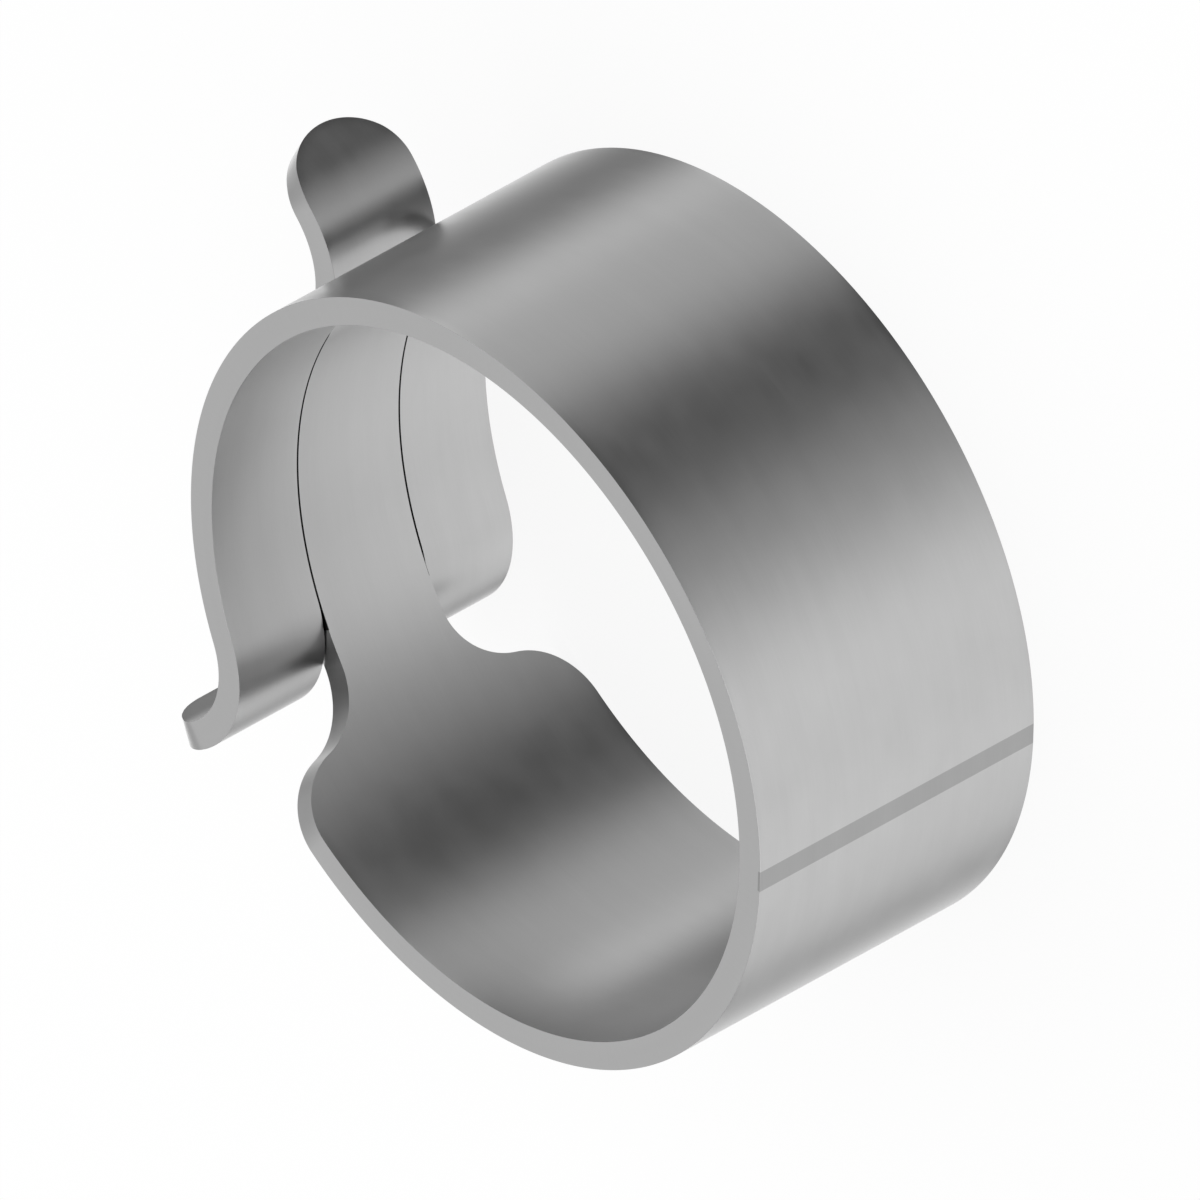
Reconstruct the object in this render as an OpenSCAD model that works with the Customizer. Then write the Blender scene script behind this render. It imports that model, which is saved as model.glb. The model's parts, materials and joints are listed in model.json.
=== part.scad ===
// Single band hose clamp: one strip of spring steel, blanked with a fork at one end and a
// tongue at the other, and rolled into a ring in which the tongue slides in the fork.
// All lengths are in millimetres and all angles in degrees. The ring stands on one edge of the
// strip: Z is its axis, the bore is centred on the origin, and +X points midway between the ears.

/* [Band] */
// Radius of the bore, where the clamp grips the hose
bore_r = 12.7; // [10:0.1:20]
// Thickness of the spring strip
strip_t = 1; // [0.6:0.05:1.4]
// Width of the strip, which is the height of the ring as it stands
band_w = 12; // [10:0.5:18]
// Width of the witness flat across the back of the band
witness_w = 0.8; // [0.4:0.1:2]

/* [Tongue and slot] */
// Width of the slot between the prongs of the fork
slot_w = 4.5; // [3.5:0.1:6]
// Gap between the tongue and each side of the slot
slot_gap = 0.04; // [0.02:0.01:0.2]
// Gap between the tab, where it leaves the ring, and the root of the slot
root_gap = 1.65; // [0.4:0.05:3]
// Fillet in the corners of the slot's root
root_r = 1.4; // [0.2:0.1:1.6]

/* [Neck and shoulders] */
// Angle from the middle of the ears to where the band has its full width
shoulder_angle = 57; // [54:0.5:80]
// Rounding of the shoulders at the edges of the band
shoulder_r = 2.48; // [1.5:0.01:3.5]
// Fillet in the neck, from the tongue to the shoulders
neck_r = 2.46; // [1.5:0.01:3]

/* [Ears] */
// Half the angle between the bends of the two ears
ear_angle = 25; // [20:0.5:27]

/* [Tab on the tongue] */
// Inside radius of the bend that turns the tab outwards
tab_bend_r = 3.18; // [2:0.01:4.5]
// Angle through which the tab is bent
tab_turn = 89.5; // [75:0.5:105]
// Flat length of the tab past its bend
tab_flat = 1.07; // [0.5:0.01:4]

/* [Lips on the prongs] */
// Inside radius of the bend that turns each lip outwards
lip_bend_r = 3.11; // [2:0.01:4.5]
// Angle through which the lips are bent
lip_turn = 91; // [75:0.5:105]
// Flat length of each lip past its bend
lip_flat = 0.88; // [0.5:0.01:4]
// Corner of each lip at the edge of the band
lip_outer_r = 1.68; // [0.5:0.01:2]
// Corner of each lip at the slot
lip_inner_r = 0.91; // [0.3:0.01:1.2]

/* [Hidden] */

$fn = 180;
// How far a cutter reaches past what it cuts
past = 1;
// Steps along each rounding of the neck and shoulders
arc_steps = 24;
// Steepest lean of the shoulder's edge from the length of the band
steepest = 88;
// How deep tangent circles run into each other, so that no hairline is left between them
blend = 0.0002;
// How far a flat laps the end of its bend
lap = 0.02;
// Turns a length along the bore into an angle about the axis
deg_per_mm = 180 / PI / bore_r;

outer_r = bore_r + strip_t;
prong_w = (band_w - slot_w) / 2;
tongue_w = slot_w - 2 * slot_gap;
// Height of the tongue's lower edge above the lower edge of the band
tongue_z = (band_w - tongue_w) / 2;

// Where the tab's convex side crosses the outside of the ring, as an angle past the tab's bend
tab_back_r = tab_bend_r + strip_t;
tab_centre_d = outer_r + tab_bend_r;
tab_exit = acos((pow(tab_centre_d, 2) + pow(outer_r, 2) - pow(tab_back_r, 2)) / (2 * tab_centre_d * outer_r));
root_angle = ear_angle + tab_exit + root_gap / outer_r * 180 / PI;

// The neck's fillet and the shoulder's rounding are tangent to each other, or to a straight edge
// between them where both together are smaller than the step in width
round_sum = neck_r + shoulder_r;
lean = min(steepest, acos(max(-1, 1 - tongue_z / round_sum)));
straight_rise = max(0, tongue_z - round_sum * (1 - cos(lean)));
neck_length = round_sum * sin(lean) + straight_rise / tan(lean);
neck_angle = shoulder_angle - neck_length * deg_per_mm;

// The edge from the neck to the shoulder, as points of angle and height above the band's edge
neck_edge = [
    for (i = [0 : arc_steps])
        let (t = lean * i / arc_steps)
        [neck_angle + neck_r * sin(t) * deg_per_mm, tongue_z - neck_r * (1 - cos(t))]
];
shoulder_edge = [
    for (i = [arc_steps : -1 : 0])
        let (t = lean * i / arc_steps)
        if (i < arc_steps || straight_rise > 0.001)
            [shoulder_angle - shoulder_r * sin(t) * deg_per_mm, shoulder_r * (1 - cos(t))]
];

function on_circle(r, a) = [r * cos(a), r * sin(a)];
function at_angle(r, a, z) = [r * cos(a), r * sin(a), z];

// Everything between two angles about the origin, as a flat shape
module wedge(from, to) {
    sides = ceil((to - from) / 45);
    reach = 2 * outer_r;
    polygon(concat([[0, 0]], [for (i = [0 : sides]) on_circle(reach, from + (to - from) * i / sides)]));
}

// Sector of the ring's outer disc, before the bore is taken out
module disc_sector(from, to) {
    intersection() {
        circle(r = outer_r);
        wedge(from, to);
    }
}

// Places its children at the centre of an ear's bend, with X pointing at the axis of the ring
module at_bend(bend_r) {
    rotate([0, 0, ear_angle])
        translate([outer_r + bend_r, 0, 0])
            rotate([0, 0, 180])
                children();
}

// Edge view of a strip that follows the ring from an angle up to its ear, turns outwards there
// and ends flat. Each bend runs on from the ring, and into the flat, at a tangent.
module eared_edge(from, bend_r, turn, flat) {
    back_r = bend_r + strip_t;
    difference() {
        union() {
            disc_sector(from, ear_angle + 1);
            at_bend(bend_r) {
                intersection() {
                    circle(r = back_r + blend);
                    wedge(-turn, 0);
                }
                rotate([0, 0, -turn])
                    translate([0, -flat])
                        square([back_r, flat + lap]);
            }
        }
        circle(r = bore_r);
        at_bend(bend_r) {
            circle(r = bend_r + blend);
            rotate([0, 0, -turn])
                translate([-past, -flat - past])
                    square([bend_r + past, flat + past + lap]);
        }
        rotate([0, 0, ear_angle])
            difference() {
                wedge(0, 2);
                translate([outer_r + bend_r, 0])
                    circle(r = back_r + blend);
            }
    }
}

// Waste at the lower corner of an ear's free end, where the strip's edge is at height 0
module corner_waste(bend_r, turn, flat, r) {
    at_bend(bend_r)
        rotate([0, 0, -turn])
            translate([bend_r / 2, -flat, 0])
                difference() {
                    translate([0, -past, -past])
                        cube([bend_r / 2 + strip_t + past, r + past, r + past]);
                    translate([-past, r - blend, r - blend])
                        rotate([0, 90, 0])
                            cylinder(r = r, h = bend_r / 2 + strip_t + 3 * past);
                }
}

// Turns its children upside down within a height
module upside_down(height) {
    translate([0, 0, height])
        mirror([0, 0, 1])
            children();
}

// Full-width part of the ring, from the neck round the back to the root of the slot
module back_band() {
    difference() {
        linear_extrude(height = band_w)
            difference() {
                disc_sector(neck_angle, 360 - root_angle);
                circle(r = bore_r);
            }
        shoulder_waste();
        upside_down(band_w)
            shoulder_waste();
        witness_waste();
    }
}

// Waste beside the neck, cut square to the ring all the way along its rounded edge
module shoulder_waste() {
    inside_r = bore_r - past;
    outside_r = outer_r + past;
    edge = concat([[neck_angle - past, tongue_z]], neck_edge, shoulder_edge);
    last = len(edge) - 1;
    points = [
        for (p = edge)
            each [
                at_angle(inside_r, p[0], -past),
                at_angle(outside_r, p[0], -past),
                at_angle(outside_r, p[0], p[1]),
                at_angle(inside_r, p[0], p[1])
            ]
    ];
    walls = [
        for (i = [0 : last - 1])
            let (a = 4 * i, b = 4 * (i + 1))
            each [
                [a, a + 1, b + 1, b],
                [a + 1, a + 2, b + 2, b + 1],
                [a + 2, a + 3, b + 3],
                [a + 2, b + 3, b + 2],
                [a + 3, a, b, b + 3]
            ]
    ];
    ends = [[3, 2, 1, 0], [4 * last, 4 * last + 1, 4 * last + 2, 4 * last + 3]];
    polyhedron(points = points, faces = concat(walls, ends));
}

// Waste outside the narrow flat on the back of the band, opposite the ears
module witness_waste() {
    flat_d = sqrt(pow(outer_r, 2) - pow(witness_w / 2, 2));
    translate([-flat_d - past, -witness_w, -past])
        cube([past, 2 * witness_w, band_w + 2 * past]);
}

// The lower prong of the fork, with its lip
module prong() {
    difference() {
        linear_extrude(height = prong_w)
            eared_edge(-root_angle - 1, lip_bend_r, lip_turn, lip_flat);
        corner_waste(lip_bend_r, lip_turn, lip_flat, lip_outer_r);
        upside_down(prong_w)
            corner_waste(lip_bend_r, lip_turn, lip_flat, lip_inner_r);
    }
}

// Material left in the lower corner of the slot's root, tangent to the root and to the slot's side
module root_fillet() {
    difference() {
        translate([0, 0, prong_w - root_r])
            linear_extrude(height = 2 * root_r)
                difference() {
                    intersection() {
                        circle(r = outer_r);
                        rotate([0, 0, -root_angle])
                            translate([0, -root_r])
                                square([2 * outer_r, 2 * root_r]);
                    }
                    circle(r = bore_r);
                }
        rotate([0, 0, -root_angle])
            translate([bore_r - past, root_r - blend, prong_w + root_r - blend])
                rotate([0, 90, 0])
                    cylinder(r = root_r, h = strip_t + 2 * past);
    }
}

// The tongue that slides in the slot, with the tab at its end
module tongue() {
    translate([0, 0, tongue_z])
        mirror([0, 1, 0])
            difference() {
                linear_extrude(height = tongue_w)
                    eared_edge(-shoulder_angle, tab_bend_r, tab_turn, tab_flat);
                corner_waste(tab_bend_r, tab_turn, tab_flat, tongue_w / 2);
                upside_down(tongue_w)
                    corner_waste(tab_bend_r, tab_turn, tab_flat, tongue_w / 2);
            }
}

module clamp_band() {
    color([0.62, 0.62, 0.62]) {
        back_band();
        prong();
        root_fillet();
        upside_down(band_w) {
            prong();
            root_fillet();
        }
        tongue();
    }
}

clamp_band();
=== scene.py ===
"""Single band hose clamp: the spring-steel strip, its finish, and a plain studio round it.

The strip is made as the real one is: cut flat, given its thickness, its edges broken, and then
rolled into the ring and its ears. All lengths are in metres. The ring stands on one edge of the
strip, Z is its axis, and +X points midway between the tab and the lips.
"""
import json
import math

import bmesh
import bpy
from mathutils import Matrix, Vector
from mathutils.kdtree import KDTree


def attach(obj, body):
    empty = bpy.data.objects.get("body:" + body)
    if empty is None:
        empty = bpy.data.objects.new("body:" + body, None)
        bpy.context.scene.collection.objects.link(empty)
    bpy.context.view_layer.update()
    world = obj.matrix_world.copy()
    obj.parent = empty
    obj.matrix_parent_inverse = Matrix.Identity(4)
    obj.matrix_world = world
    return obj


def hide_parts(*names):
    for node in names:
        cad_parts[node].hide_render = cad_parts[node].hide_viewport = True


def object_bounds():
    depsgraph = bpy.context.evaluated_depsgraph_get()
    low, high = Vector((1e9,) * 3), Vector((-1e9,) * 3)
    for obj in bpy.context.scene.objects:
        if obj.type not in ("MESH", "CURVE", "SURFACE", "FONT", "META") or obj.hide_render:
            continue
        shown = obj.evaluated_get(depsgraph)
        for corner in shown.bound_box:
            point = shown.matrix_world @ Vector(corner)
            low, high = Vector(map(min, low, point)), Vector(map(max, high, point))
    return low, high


bl_info = {
    "name": "Single Band Hose Clamp",
    "version": (1, 0, 0),
    "blender": (4, 5, 0),
    "location": "View3D > Sidebar > Hose Clamp",
    "description": "Builds a spring hose clamp from one strip of steel, with a studio to show it in",
    "category": "Add Mesh",
}

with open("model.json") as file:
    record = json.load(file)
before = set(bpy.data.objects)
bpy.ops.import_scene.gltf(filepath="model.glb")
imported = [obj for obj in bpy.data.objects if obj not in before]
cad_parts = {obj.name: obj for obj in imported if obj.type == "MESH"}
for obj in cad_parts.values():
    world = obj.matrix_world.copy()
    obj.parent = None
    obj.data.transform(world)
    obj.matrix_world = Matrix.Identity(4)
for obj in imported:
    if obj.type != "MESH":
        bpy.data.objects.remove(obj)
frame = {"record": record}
CAD_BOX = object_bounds()
MM = 0.001

HOSE_GRIP = next(mount for mount in frame["record"]["mounts"] if mount["name"] == "hose_grip")
BORE_RADIUS = HOSE_GRIP["dims"]["r_mm"] * MM
BAND_WIDTH = HOSE_GRIP["dims"]["length_mm"] * MM
THICKNESS = CAD_BOX[1].y - BORE_RADIUS

# Lengths of the faces round the ring, in the ears, and along the neck
RING_STEP = 0.23 * MM
EAR_STEP = 0.13 * MM
NECK_STEP = 0.06 * MM
# Columns of faces in the tab's round end, in the fillet of the slot's root, and in half the
# witness flat
TAB_END_COLUMNS = 16
FILLET_COLUMNS = 10
WITNESS_COLUMNS = 2
# Rows of faces across each prong, which run on through the band, and between them and the middle
EDGE_ROWS = 10
MIDDLE_ROWS = 5
# Points of the blank that are nearer than this are one point
WELD = 1e-4 * MM
# Edges of the blank that turn more than this are cut ones, and are broken
CUT_ANGLE = math.radians(60)
# Edges that still turn more than this after that are shaded as sharp
SHARP_ANGLE = math.radians(18)
# A face of the flat strip is on a cut side where the upright part of its normal is less than this
CUT_SIDE = 0.5
# Share of the thickness past which a point lies on the outer face
OUTER_FACE = 0.9


def length(name, description, default):
    """A size in metres that the sidebar shows in the scene's own unit."""
    return bpy.props.FloatProperty(
        name=name, description=description, default=default, min=0, unit="LENGTH", precision=5
    )


def angle(name, description, degrees):
    """An angle that is kept in radians and shown in degrees."""
    return bpy.props.FloatProperty(
        name=name, description=description, default=math.radians(degrees), subtype="ANGLE"
    )


def share(name, description, default):
    """A share from 0 to 1."""
    return bpy.props.FloatProperty(
        name=name, description=description, default=default, min=0, max=1, subtype="FACTOR"
    )


class StripSizes(bpy.types.PropertyGroup):
    """Sizes of the strip, and of the ears that are bent at its ends."""

    bore_radius: length("Bore Radius", "Inside radius of the ring", BORE_RADIUS)
    width: length("Band Width", "Width of the strip", BAND_WIDTH)
    thickness: length("Thickness", "Thickness of the strip", THICKNESS)
    witness_width: length("Witness Flat", "Width of the flat across the back", 0.8 * MM)
    slot_width: length("Slot Width", "Width of the slot between the prongs", 4.5 * MM)
    slot_gap: length("Slot Gap", "Gap on each side of the tongue", 0.04 * MM)
    root_gap: length("Root Gap", "Gap between the tab and the root of the slot", 1.65 * MM)
    root_fillet: length("Root Fillet", "Fillet in the corners of the slot's root", 1.4 * MM)
    shoulder_angle: angle("Shoulder Angle", "Where the band gets its full width", 57)
    shoulder_radius: length("Shoulder Radius", "Rounding of the shoulders", 2.48 * MM)
    neck_radius: length("Neck Radius", "Fillet from the tongue to the shoulders", 2.46 * MM)
    ear_angle: angle("Ear Angle", "Half the angle between the two bends", 25)
    tab_bend: length("Tab Bend", "Inside radius of the tab's bend", 3.18 * MM)
    tab_turn: angle("Tab Turn", "Angle through which the tab is bent", 89.5)
    tab_flat: length("Tab Flat", "Flat length past the tab's bend", 1.07 * MM)
    lip_bend: length("Lip Bend", "Inside radius of the lips' bend", 3.11 * MM)
    lip_turn: angle("Lip Turn", "Angle through which the lips are bent", 91)
    lip_flat: length("Lip Flat", "Flat length past the lips' bend", 0.88 * MM)
    lip_outer_corner: length("Outer Corner", "Lip's corner at the band's edge", 1.68 * MM)
    lip_inner_corner: length("Inner Corner", "Lip's corner at the slot", 0.91 * MM)
    edge_break: length("Edge Break", "Rounding of the deburred edges", 0.006 * MM)


class SteelFinish(bpy.types.PropertyGroup):
    """Finish of the satin spring steel."""

    colour: bpy.props.FloatVectorProperty(
        name="Steel", description="Colour of the rolled faces", default=(0.56, 0.56, 0.56),
        size=3, min=0, max=1, subtype="COLOR",
    )
    roughness: share("Roughness", "Roughness of the rolled faces", 0.33)
    grain: share("Grain", "Strength of the fine grain that rolling leaves along the strip", 0.5)
    mottle: share("Mottle", "Strength of the soft cloudiness of the satin finish", 0.5)
    wear: share("Edge Wear", "How far the broken edges are rubbed bright", 0.5)
    witness: share("Witness Shade", "How much darker the ground witness flat is", 0.3)
    # The next two settings give the width of the painted shade on the rims of the slot's gaps, and
    # where it ends
    gap_shade_rim: length("Oil Rim", "How far the oil in the slot's gaps wets their rims", 0.018 * MM)
    gap_shade_reach: angle("Oil Reach", "Where the oil ends, from the middle of the ears", 30)


class StudioSettings(bpy.types.PropertyGroup):
    """The floor and the light."""

    floor_size: length("Floor Size", "Side of the square floor", 2.0)
    floor_shadow: share("Floor Shadow", "How much of the clamp's shadow the floor shows", 0.12)
    tent: bpy.props.FloatProperty(
        name="Tent", description="Level of the white tent behind its panels", default=1.2, min=0
    )


# The flat blank


class Blank:
    """Where the strip's features lie on the flat blank.

    x runs along the strip, y across it from its middle, and z is the height above the face that
    becomes the bore. x is 0 where the tongue crosses the middle of the ears, and a length along x
    is a length along the middle of the strip's thickness.
    """

    def __init__(self, sizes):
        self.sizes = sizes
        self.middle_radius = sizes.bore_radius + sizes.thickness / 2
        self.outer_radius = sizes.bore_radius + sizes.thickness
        self.half_width = sizes.width / 2
        self.half_slot = sizes.slot_width / 2
        self.half_tongue = self.half_slot - sizes.slot_gap
        self.tab_bend_start = -sizes.ear_angle * self.middle_radius
        self.lip_bend_start = (2 * math.pi + sizes.ear_angle) * self.middle_radius
        tab_bend_length = (sizes.tab_bend + sizes.thickness / 2) * sizes.tab_turn
        lip_bend_length = (sizes.lip_bend + sizes.thickness / 2) * sizes.lip_turn
        self.tab_end = self.tab_bend_start - tab_bend_length - sizes.tab_flat
        self.lip_end = self.lip_bend_start + lip_bend_length + sizes.lip_flat
        self.root = (2 * math.pi - self.root_angle()) * self.middle_radius
        self.neck, self.turn_over, self.shoulder = self.neck_places()
        self.back = math.pi * self.middle_radius
        half_angle = math.asin(sizes.witness_width / 2 / self.outer_radius)
        self.half_witness = half_angle * self.middle_radius

    def root_angle(self):
        """Angle from the middle of the ears to the root of the slot, clear of the tab's back."""
        sizes = self.sizes
        back = sizes.tab_bend + sizes.thickness
        centre = self.outer_radius + sizes.tab_bend
        ring = self.outer_radius
        crossing = math.acos((centre**2 + ring**2 - back**2) / (2 * centre * ring))
        return sizes.ear_angle + crossing + sizes.root_gap / ring

    def neck_places(self):
        """Start of the neck's fillet, where it turns over into the shoulder, and its end."""
        sizes = self.sizes
        step = self.half_width - self.half_tongue
        both = sizes.neck_radius + sizes.shoulder_radius
        lean = math.acos(1 - step / both)
        scale = self.middle_radius / sizes.bore_radius
        shoulder = sizes.shoulder_angle * self.middle_radius
        neck = shoulder - both * math.sin(lean) * scale
        return neck, neck + sizes.neck_radius * math.sin(lean) * scale, shoulder

    def half_width_at(self, x):
        """Half the width of the tongue, the neck or the band."""
        sizes = self.sizes
        scale = sizes.bore_radius / self.middle_radius
        if x <= self.neck:
            return self.half_tongue
        if x <= self.turn_over:
            along = (x - self.neck) * scale
            return self.half_tongue + round_off(sizes.neck_radius, along)
        if x < self.shoulder:
            along = (self.shoulder - x) * scale
            return self.half_width - round_off(sizes.shoulder_radius, along)
        return self.half_width

    def dip_at(self, x):
        """How far the witness flat lies inside the round of the band."""
        off = abs(x - self.back) / self.middle_radius
        half = self.half_witness / self.middle_radius
        return self.outer_radius * (1 - math.cos(half) / math.cos(off)) if off < half else 0

    def slot_edge_at(self, x):
        """Half the width of the slot, which narrows to nothing in the fillet of its root."""
        fillet = self.sizes.root_fillet
        left = max(0.0, fillet - (x - self.root))
        return self.half_slot - round_off(fillet, left)


def round_off(radius, along):
    """How far an arc has left its tangent at a length along it."""
    return radius - math.sqrt(max(0.0, radius**2 - along**2))


def rounded_corner(x, y, corner_x, corner_y, radius):
    """Sends a point in the square corner of a blank into the same corner with a round end.

    The sides of the square that face the blank stay where they are, so rows and columns of faces
    run on into the corner.
    """
    toward_x = math.copysign(1, corner_x)
    toward_y = math.copysign(1, corner_y)
    across = 1 - (abs(corner_x) - toward_x * x) / radius
    up = 1 - (abs(corner_y) - toward_y * y) / radius
    if across <= 0 or up <= 0:
        return x, y
    new_across = across * math.sqrt(1 - up**2 / 2)
    new_up = up * math.sqrt(1 - across**2 / 2)
    return x + toward_x * radius * (new_across - across), y + toward_y * radius * (new_up - up)


def cut_stretch(mesh, columns, rows, place):
    """Cuts one stretch of the blank as a grid, and sends it to its place on the blank."""
    grid = bmesh.ops.create_grid(mesh, x_segments=columns, y_segments=rows, size=0.5)
    for vertex in grid["verts"]:
        vertex.co = Vector((*place(vertex.co.x + 0.5, vertex.co.y + 0.5), 0))


def cut_tongue_and_band(mesh, blank):
    """The lower half of the strip from the tab's end to the root of the slot."""
    sizes = blank.sizes
    edge_share = (blank.half_width - blank.half_slot + sizes.root_fillet) / blank.half_width
    stops = [
        (blank.tab_end, blank.half_tongue / TAB_END_COLUMNS),
        (blank.tab_end + blank.half_tongue, EAR_STEP),
        (blank.tab_bend_start, RING_STEP),
        (blank.neck, NECK_STEP),
        (blank.shoulder, RING_STEP),
        (blank.back - blank.half_witness, blank.half_witness / WITNESS_COLUMNS),
        (blank.back + blank.half_witness, RING_STEP),
        (blank.root, None),
    ]
    for (start, step), (end, _next_step) in zip(stops, stops[1:]):
        columns = max(1, round((end - start) / step))
        for rows, low, high in ((EDGE_ROWS, 0, edge_share), (MIDDLE_ROWS, edge_share, 1)):

            def place(along, across):
                x = start + along * (end - start)
                y = -blank.half_width_at(x) * (1 - low - across * (high - low))
                return rounded_corner(x, y, blank.tab_end, -blank.half_tongue, blank.half_tongue)

            cut_stretch(mesh, columns, rows, place)


def cut_prong(mesh, blank):
    """The lower prong, from the root of the slot to the lip's end."""
    sizes = blank.sizes
    fillet_end = blank.root + sizes.root_fillet
    stops = [
        (blank.root, sizes.root_fillet / FILLET_COLUMNS),
        (fillet_end, RING_STEP),
        (blank.lip_bend_start, EAR_STEP),
        (blank.lip_end, None),
    ]
    for (start, step), (end, _next_step) in zip(stops, stops[1:]):
        columns = max(1, round((end - start) / step))

        def place(along, across):
            x = start + along * (end - start)
            if start == blank.root:
                x = start + (end - start) * (1 - math.cos(along * math.pi / 2))
            y = -blank.half_width + across * (blank.half_width - blank.slot_edge_at(x))
            x, y = rounded_corner(
                x, y, blank.lip_end, -blank.half_width, sizes.lip_outer_corner
            )
            inner = y + 2 * blank.half_slot
            x, inner = rounded_corner(
                x, inner, blank.lip_end, blank.half_slot, sizes.lip_inner_corner
            )
            return x, inner - 2 * blank.half_slot

        cut_stretch(mesh, columns, EDGE_ROWS, place)


def rolled(blank, flat):
    """Where a point of the flat blank lies on the rolled and bent strip."""
    sizes = blank.sizes
    height = flat.y + blank.half_width
    if flat.x < blank.tab_bend_start:
        past, side = blank.tab_bend_start - flat.x, -1
        bend, turn = sizes.tab_bend, sizes.tab_turn
    elif flat.x > blank.lip_bend_start:
        past, side = flat.x - blank.lip_bend_start, 1
        bend, turn = sizes.lip_bend, sizes.lip_turn
    else:
        around = flat.x / blank.middle_radius
        radius = sizes.bore_radius + flat.z - flat.z / sizes.thickness * blank.dip_at(flat.x)
        return Vector((radius * math.cos(around), radius * math.sin(around), height))
    turned = min(turn, past / (bend + sizes.thickness / 2))
    straight = past - turned * (bend + sizes.thickness / 2)
    from_centre = bend + sizes.thickness - flat.z
    out = blank.outer_radius + bend - from_centre * math.cos(turned) + straight * math.sin(turned)
    on = from_centre * math.sin(turned) + straight * math.cos(turned)
    ear_x, ear_y = math.cos(sizes.ear_angle), math.sin(sizes.ear_angle)
    return Vector((out * ear_x - on * ear_y, side * (out * ear_y + on * ear_x), height))


def strip_mesh(sizes):
    """The whole strip, as a closed mesh."""
    blank = Blank(sizes)
    mesh = bmesh.new()
    cut_tongue_and_band(mesh, blank)
    cut_prong(mesh, blank)
    bmesh.ops.remove_doubles(mesh, verts=mesh.verts, dist=WELD)
    everything = mesh.verts[:] + mesh.edges[:] + mesh.faces[:]
    bmesh.ops.mirror(mesh, geom=everything, merge_dist=WELD, axis="Y")
    bmesh.ops.recalc_face_normals(mesh, faces=mesh.faces)
    # The faces look down, because the thickness is added behind them
    if mesh.faces[0].normal.z > 0:
        bmesh.ops.reverse_faces(mesh, faces=mesh.faces)
    bmesh.ops.solidify(mesh, geom=mesh.faces[:], thickness=sizes.thickness)
    rim = [edge for edge in mesh.edges if edge.calc_face_angle(0) > CUT_ANGLE]
    bmesh.ops.bevel(
        mesh, geom=rim, offset=sizes.edge_break, offset_type="OFFSET", segments=2, profile=0.5,
        affect="EDGES", material=-1,
    )
    note_places(mesh)
    for edge in mesh.edges:
        edge.smooth = not borders_a_plane(blank, edge)
    for vertex in mesh.verts:
        vertex.co = rolled(blank, vertex.co)
    return mesh


def note_places(mesh):
    """Notes on the flat mesh what the steel needs to know of it once it is rolled."""
    place = mesh.verts.layers.float_vector.new("place_on_strip")
    from_edge = mesh.verts.layers.float.new("from_edge")
    sheared = mesh.faces.layers.float.new("sheared_face")
    for face in mesh.faces:
        face[sheared] = 1 if abs(face.normal.z) < CUT_SIDE else 0
    rim = [v for v in mesh.verts if any(face[sheared] for face in v.link_faces)]
    nearest = KDTree(len(rim))
    for index, vertex in enumerate(rim):
        nearest.insert(vertex.co, index)
    nearest.balance()
    for vertex in mesh.verts:
        vertex[place] = vertex.co
        vertex[from_edge] = nearest.find(vertex.co)[2]


def borders_a_plane(blank, edge):
    """Whether an edge of the flat blank parts two faces that are shaded apart."""
    if edge.calc_face_angle(0) > SHARP_ANGLE:
        return True
    ends = [vertex.co for vertex in edge.verts]
    on_border = all(abs(abs(end.x - blank.back) - blank.half_witness) < WELD for end in ends)
    return on_border and all(end.z > blank.sizes.thickness * OUTER_FACE for end in ends)


def built(name, mesh):
    """A piece at the origin with this mesh."""
    data = bpy.data.meshes.new(name)
    mesh.to_mesh(data)
    mesh.free()
    piece = bpy.data.objects.new(name, data)
    bpy.context.scene.collection.objects.link(piece)
    return piece


# Materials


def node(tree, kind, inputs=None, **settings):
    """A shader node with its settings, and with its sockets set or linked."""
    made = tree.nodes.new(kind)
    for name, value in settings.items():
        setattr(made, name, value)
    for socket, value in (inputs or {}).items():
        if isinstance(value, bpy.types.NodeSocket):
            tree.links.new(value, made.inputs[socket])
        else:
            made.inputs[socket].default_value = value
    return made


def math_node(tree, operation, *values):
    """The result of a Math node."""
    return node(tree, "ShaderNodeMath", dict(enumerate(values)), operation=operation).outputs[0]


def mapped(tree, value, low, high, from_low=0.0, from_high=1.0):
    """A value moved from one range to another."""
    inputs = {"Value": value, "From Min": from_low, "From Max": from_high,
              "To Min": low, "To Max": high}
    return node(tree, "ShaderNodeMapRange", inputs).outputs["Result"]


def varied(tree, value, patterns):
    """A value that each pattern makes up to its own share lower and higher."""
    for pattern, amount in patterns:
        factor = mapped(tree, pattern, 1 - amount, 1 + amount)
        value = math_node(tree, "MULTIPLY", value, factor)
    return value


def group(name, inputs, outputs):
    """A new shader node group, with its input and output nodes."""
    tree = bpy.data.node_groups.new(name, "ShaderNodeTree")
    for label, kind in inputs:
        tree.interface.new_socket(label, in_out="INPUT", socket_type=kind)
    for label, kind in outputs:
        tree.interface.new_socket(label, in_out="OUTPUT", socket_type=kind)
    return tree, tree.nodes.new("NodeGroupInput").outputs, tree.nodes.new("NodeGroupOutput")


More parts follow.
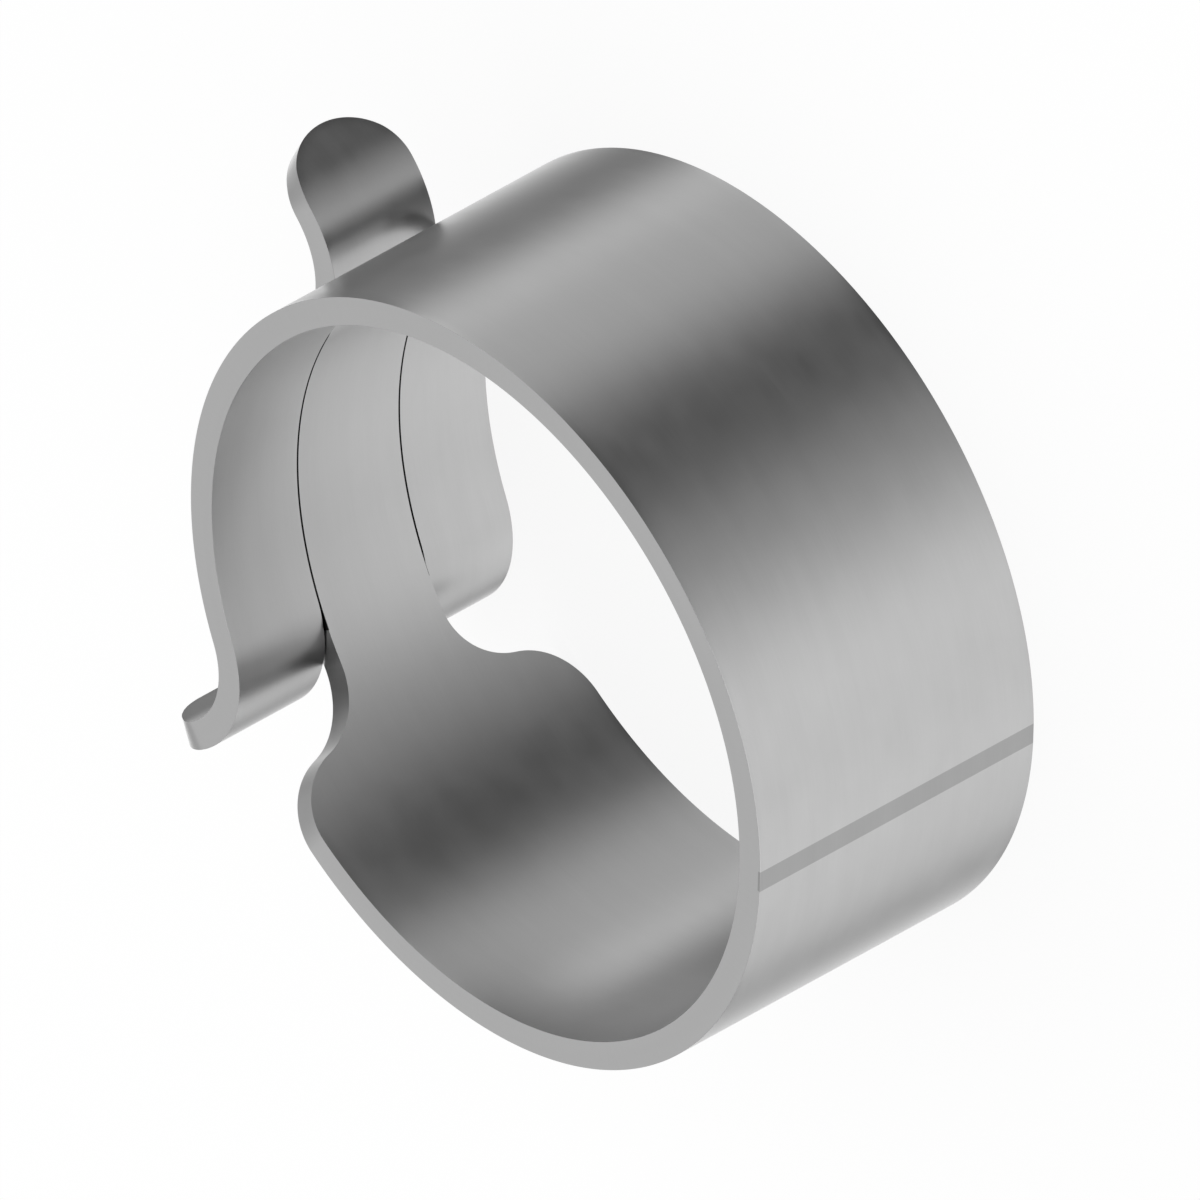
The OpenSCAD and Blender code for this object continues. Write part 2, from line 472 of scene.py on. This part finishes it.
def grain_group():
    """Streaks along the strip, from its place on the flat blank. Lengths are in millimetres."""
    tree, given, result = group(
        "rolling grain",
        [("Place", "NodeSocketVector"), ("Streak Length", "NodeSocketFloat"),
         ("Streak Width", "NodeSocketFloat")],
        [("Streaks", "NodeSocketFloat")],
    )
    place = node(tree, "ShaderNodeVectorMath", {0: given["Place"], "Scale": 1 / MM},
                 operation="SCALE").outputs[0]
    size = node(tree, "ShaderNodeCombineXYZ", {
        "X": given["Streak Length"], "Y": given["Streak Width"], "Z": given["Streak Width"],
    }).outputs[0]
    stretched = node(tree, "ShaderNodeVectorMath", {0: place, 1: size}, operation="DIVIDE")
    noise = node(tree, "ShaderNodeTexNoise",
                 {"Vector": stretched.outputs[0], "Scale": 1.0, "Detail": 3.0, "Roughness": 0.55})
    tree.links.new(noise.outputs["Fac"], result.inputs["Streaks"])
    return tree


def placed(tree, pattern, inputs):
    """The output of a node group that is placed in a material or world with its own values."""
    return node(tree, "ShaderNodeGroup", inputs, node_tree=pattern).outputs[0]


# Length along the strip and width across it, in millimetres, of the streaks that make the grain,
# the marks on the cut sides, the soft bands and the cloudiness
GRAIN_STREAKS = (2.5, 0.05)
SHEAR_STREAKS = (0.07, 1.5)
BAND_STREAKS = (12.0, 0.7)
MOTTLE_STREAKS = (1.6, 1.1)
# The largest shares by which these change the tone of the steel, and its roughness
GRAIN_TONE = 0.06
BAND_TONE = 0.06
MOTTLE_TONE = 0.05
GRAIN_ROUGHNESS = 0.2
MOTTLE_ROUGHNESS = 0.2
# Height of the grain
GRAIN_HEIGHT = 0.001 * MM
# The distances from an edge between which rubbing fades, and the roughness that it leaves, as a
# share of the rolled face's
RUBBED_FROM = 0.02 * MM
RUBBED_TO = 0.3 * MM
RUBBED_ROUGHNESS = 0.8
# Tone of the painted shade on the rims of the slot's gaps, as a share of the steel's own tone
GAP_SHADE_TONE = 0.05


def steel(finish, blank):
    """Satin spring steel, with rubbed edges, a dull witness flat and painted shade on the rims of
    the slot's gaps.
    """
    material = bpy.data.materials.new("spring steel")
    material.use_nodes = True
    tree = material.node_tree
    shader = tree.nodes["Principled BSDF"]
    shader.inputs["Metallic"].default_value = 1
    place = node(tree, "ShaderNodeAttribute", attribute_name="place_on_strip").outputs["Vector"]
    from_edge = node(tree, "ShaderNodeAttribute", attribute_name="from_edge").outputs["Fac"]
    sheared = node(tree, "ShaderNodeAttribute", attribute_name="sheared_face").outputs["Fac"]
    pattern = grain_group()
    grain, marks, bands, mottle = (
        placed(tree, pattern, {"Place": place, "Streak Length": long, "Streak Width": wide})
        for long, wide in (GRAIN_STREAKS, SHEAR_STREAKS, BAND_STREAKS, MOTTLE_STREAKS)
    )
    fine = node(tree, "ShaderNodeMix", {0: sheared, 2: grain, 3: marks}).outputs[0]
    rubbed = mapped(tree, from_edge, finish.wear, 0, RUBBED_FROM, RUBBED_TO)
    rubbed = math_node(tree, "MULTIPLY", rubbed, math_node(tree, "SUBTRACT", 1.0, sheared))

    # The witness flat, on the outer face across the back
    parts = node(tree, "ShaderNodeSeparateXYZ", {0: place}).outputs
    off_back = math_node(tree, "ABSOLUTE", math_node(tree, "SUBTRACT", parts["X"], blank.back))
    on_flat = math_node(tree, "LESS_THAN", off_back, blank.half_witness)
    outside = math_node(tree, "GREATER_THAN", parts["Z"], blank.sizes.thickness * OUTER_FACE)
    witness = math_node(tree, "MULTIPLY", on_flat, outside)

    # Painted shade on the rims of the two gaps of the slot, standing in for the shadow inside them,
    # as far as it reaches from the middle of the ears
    gap = blank.sizes.slot_gap
    off_middle = math_node(tree, "ABSOLUTE", parts["Y"])
    off_gap = math_node(tree, "ABSOLUTE", math_node(
        tree, "SUBTRACT", off_middle, blank.half_slot - gap / 2
    ))
    in_gap = math_node(tree, "LESS_THAN", off_gap, gap / 2 + finish.gap_shade_rim)
    around = math_node(tree, "DIVIDE", parts["X"], blank.middle_radius)
    by_tongue = math_node(
        tree, "GREATER_THAN", math_node(tree, "COSINE", around), math.cos(finish.gap_shade_reach)
    )
    painted_gap_shade = math_node(tree, "MULTIPLY", in_gap, by_tongue)

    witness_tone = mapped(tree, witness, 1, 1 - finish.witness)
    shade = varied(tree, math_node(tree, "MULTIPLY", witness_tone, mapped(tree, painted_gap_shade, 1, GAP_SHADE_TONE)), (
        (fine, GRAIN_TONE * finish.grain), (bands, BAND_TONE * finish.grain),
        (mottle, MOTTLE_TONE * finish.mottle),
    ))
    colour = node(tree, "ShaderNodeVectorMath", {0: tuple(finish.colour), "Scale": shade},
                  operation="SCALE").outputs[0]
    tree.links.new(colour, shader.inputs["Base Color"])

    smoother = mapped(tree, rubbed, finish.roughness, finish.roughness * RUBBED_ROUGHNESS)
    rough = varied(tree, smoother, (
        (fine, GRAIN_ROUGHNESS * finish.grain), (mottle, MOTTLE_ROUGHNESS * finish.mottle),
    ))
    tree.links.new(rough, shader.inputs["Roughness"])

    bump = node(tree, "ShaderNodeBump", {
        "Height": fine, "Distance": GRAIN_HEIGHT, "Strength": finish.grain,
    })
    tree.links.new(bump.outputs["Normal"], shader.inputs["Normal"])
    return material


class HOSECLAMP_OT_band(bpy.types.Operator):
    """Cuts, rolls and bends the strip, and gives it its steel"""

    bl_idname = "hose_clamp.band"
    bl_label = "Roll the Band"

    def execute(self, context):
        sizes = context.scene.clamp_strip
        piece = built("band", strip_mesh(sizes))
        piece.data.shade_smooth()
        piece.data.materials.append(steel(context.scene.clamp_steel, Blank(sizes)))
        normals = piece.modifiers.new("true normals", "WEIGHTED_NORMAL")
        normals.keep_sharp = True
        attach(piece, "root")
        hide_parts("clamp_band")
        return {"FINISHED"}


# The light: a white tent with soft panels in front of it, which are brighter or darker than it is.
# Each has a name, its azimuth, elevation and spread in degrees, as seen from the clamp, and the
# level that it adds to the tent's.
PANELS = (
    ("first lamp behind the band", 145, 0, 18, 1.8),
    ("second lamp behind the band", 190, 0, 22, 2.5),
    ("dark wall behind the band", 205, 10, 65, -1.35),
    ("flag under the tab's side", 265, -35, 14, -0.8),
    ("lamp under the tab", 332, -33, 7, 0.8),
    ("flag before the ears", 0, -25, 35, -0.9),
    ("lamp under the lips", 40, -25, 15, 1.1),
    ("small flag beside the lips", 85, -35, 8, -0.6),
    ("flag over the lips", 75, 50, 35, -1.7),
    ("lamp over the ears", 60, 50, 20, 1.8),
)
# Level of the tent where its flags are darkest
DARKEST = 0.02
WHITE = (1, 1, 1, 1)
FLOOR_PAINT = (0.98, 0.98, 0.98, 1)


def soft_panel_group():
    """Level of a soft panel, which fades evenly round the direction that it stands in."""
    tree, given, result = group(
        "soft panel",
        [("Look", "NodeSocketVector"), ("Toward", "NodeSocketVector"),
         ("Sharpness", "NodeSocketFloat"), ("Level", "NodeSocketFloat")],
        [("Level", "NodeSocketFloat")],
    )
    near = node(tree, "ShaderNodeVectorMath", {0: given["Look"], 1: given["Toward"]},
                operation="DOT_PRODUCT").outputs["Value"]
    off = math_node(tree, "SUBTRACT", near, 1.0)
    faded = math_node(tree, "EXPONENT", math_node(tree, "MULTIPLY", off, given["Sharpness"]))
    level = math_node(tree, "MULTIPLY", faded, given["Level"])
    tree.links.new(level, result.inputs["Level"])
    return tree


def direction(azimuth, elevation):
    """The unit vector at an azimuth and an elevation in degrees."""
    around, up = math.radians(azimuth), math.radians(elevation)
    return (math.cos(up) * math.cos(around), math.cos(up) * math.sin(around), math.sin(up))


def light_tent(studio):
    """The world: white to the camera, even to dull surfaces, and a tent with panels to metal."""
    world = bpy.data.worlds.new("light tent")
    world.use_nodes = True
    world.cycles.sampling_method = "NONE"
    tree = world.node_tree
    tree.nodes.clear()
    look = node(tree, "ShaderNodeTexCoord").outputs["Generated"]
    pattern = soft_panel_group()
    level = studio.tent
    for _name, azimuth, elevation, spread, panel_level in PANELS:
        panel = placed(tree, pattern, {
            "Look": look,
            "Toward": direction(azimuth, elevation),
            "Sharpness": math.log(2) / (1 - math.cos(math.radians(spread))),
            "Level": panel_level,
        })
        level = math_node(tree, "ADD", panel, level)
    level = math_node(tree, "MAXIMUM", level, DARKEST)
    rays = node(tree, "ShaderNodeLightPath").outputs
    shown = math_node(tree, "MAXIMUM", rays["Is Glossy Ray"], rays["Is Transmission Ray"])
    even = node(tree, "ShaderNodeBackground", {"Color": WHITE, "Strength": 1.0}).outputs[0]
    tent = node(tree, "ShaderNodeBackground", {"Color": WHITE, "Strength": level}).outputs[0]
    light = node(tree, "ShaderNodeMixShader", {0: shown, 1: even, 2: tent}).outputs[0]
    node(tree, "ShaderNodeOutputWorld", {"Surface": light})
    return world


def floor_paint(studio):
    """Pale floor that looks as white as the tent, and keeps a part of the clamp's soft shadow."""
    material = bpy.data.materials.new("pale floor")
    material.use_nodes = True
    tree = material.node_tree
    tree.nodes.clear()
    paint = node(tree, "ShaderNodeBsdfDiffuse", {"Color": FLOOR_PAINT}).outputs[0]
    white = node(tree, "ShaderNodeEmission", {"Color": WHITE, "Strength": 1.0}).outputs[0]
    rays = node(tree, "ShaderNodeLightPath").outputs
    lit = math_node(tree, "MULTIPLY", rays["Is Camera Ray"], 1 - studio.floor_shadow)
    light = node(tree, "ShaderNodeMixShader", {0: lit, 1: paint, 2: white}).outputs[0]
    node(tree, "ShaderNodeOutputMaterial", {"Surface": light})
    return material


# The photograph's view. It is seen without perspective, and rolled so that the ring stands upright.
# The two aims are how far the picture's middle is from the middle of the ring's upper edge.
VIEW_AZIMUTH = math.radians(-42.62)
VIEW_ELEVATION = math.radians(32.63)
VIEW_ROLL = math.radians(-118.65)
VIEW_WIDTH = 38.898 * MM
AIM_RIGHT = 4.035 * MM
AIM_UP = 2.711 * MM
CAMERA_DISTANCE = 200 * MM


class HOSECLAMP_OT_stage(bpy.types.Operator):
    """Puts the floor, the light and the camera round the clamp"""

    bl_idname = "hose_clamp.stage"
    bl_label = "Set the Stage"

    def execute(self, context):
        studio = context.scene.clamp_studio
        scene = context.scene
        scene.view_settings.view_transform = "Standard"
        scene.world = light_tent(studio)
        plane = bmesh.new()
        bmesh.ops.create_grid(plane, x_segments=1, y_segments=1, size=studio.floor_size / 2)
        floor = built("floor", plane)
        floor.data.materials.append(floor_paint(studio))
        # The steel doesn't mirror the floor, and the light from below passes through it
        floor.visible_glossy = False
        floor.visible_shadow = False
        camera = bpy.data.objects.new("camera", bpy.data.cameras.new("camera"))
        scene.collection.objects.link(camera)
        camera.data.type = "ORTHO"
        camera.data.ortho_scale = VIEW_WIDTH
        turn = (
            Matrix.Rotation(VIEW_AZIMUTH, 4, "Z")
            @ Matrix.Rotation(math.pi / 2 - VIEW_ELEVATION, 4, "X")
            @ Matrix.Rotation(VIEW_ROLL, 4, "Z")
        )
        edge_middle = Vector((0, 0, BAND_WIDTH))
        place = edge_middle + turn @ Vector((AIM_RIGHT, AIM_UP, CAMERA_DISTANCE))
        camera.matrix_world = Matrix.Translation(place) @ turn
        camera.data.clip_start = 0.01
        camera.data.clip_end = 10
        scene.camera = camera
        return {"FINISHED"}


class HOSECLAMP_PT_sidebar(bpy.types.Panel):
    """Sizes, finish and studio in the sidebar"""

    bl_label = "Hose Clamp"
    bl_space_type = "VIEW_3D"
    bl_region_type = "UI"
    bl_category = "Hose Clamp"

    def draw(self, context):
        for settings in (
            context.scene.clamp_strip, context.scene.clamp_steel, context.scene.clamp_studio
        ):
            box = self.layout.box()
            for name in settings.__annotations__:
                box.prop(settings, name)
        self.layout.operator("hose_clamp.band")
        self.layout.operator("hose_clamp.stage")


CLASSES = (
    StripSizes, SteelFinish, StudioSettings, HOSECLAMP_OT_band, HOSECLAMP_OT_stage,
    HOSECLAMP_PT_sidebar,
)


def register():
    for each in CLASSES:
        bpy.utils.register_class(each)
    bpy.types.Scene.clamp_strip = bpy.props.PointerProperty(type=StripSizes)
    bpy.types.Scene.clamp_steel = bpy.props.PointerProperty(type=SteelFinish)
    bpy.types.Scene.clamp_studio = bpy.props.PointerProperty(type=StudioSettings)


def unregister():
    del bpy.types.Scene.clamp_strip
    del bpy.types.Scene.clamp_steel
    del bpy.types.Scene.clamp_studio
    for each in reversed(CLASSES):
        bpy.utils.unregister_class(each)


def main():
    register()
    bpy.ops.hose_clamp.band()
    bpy.ops.hose_clamp.stage()


if __name__ == "__main__":
    main()
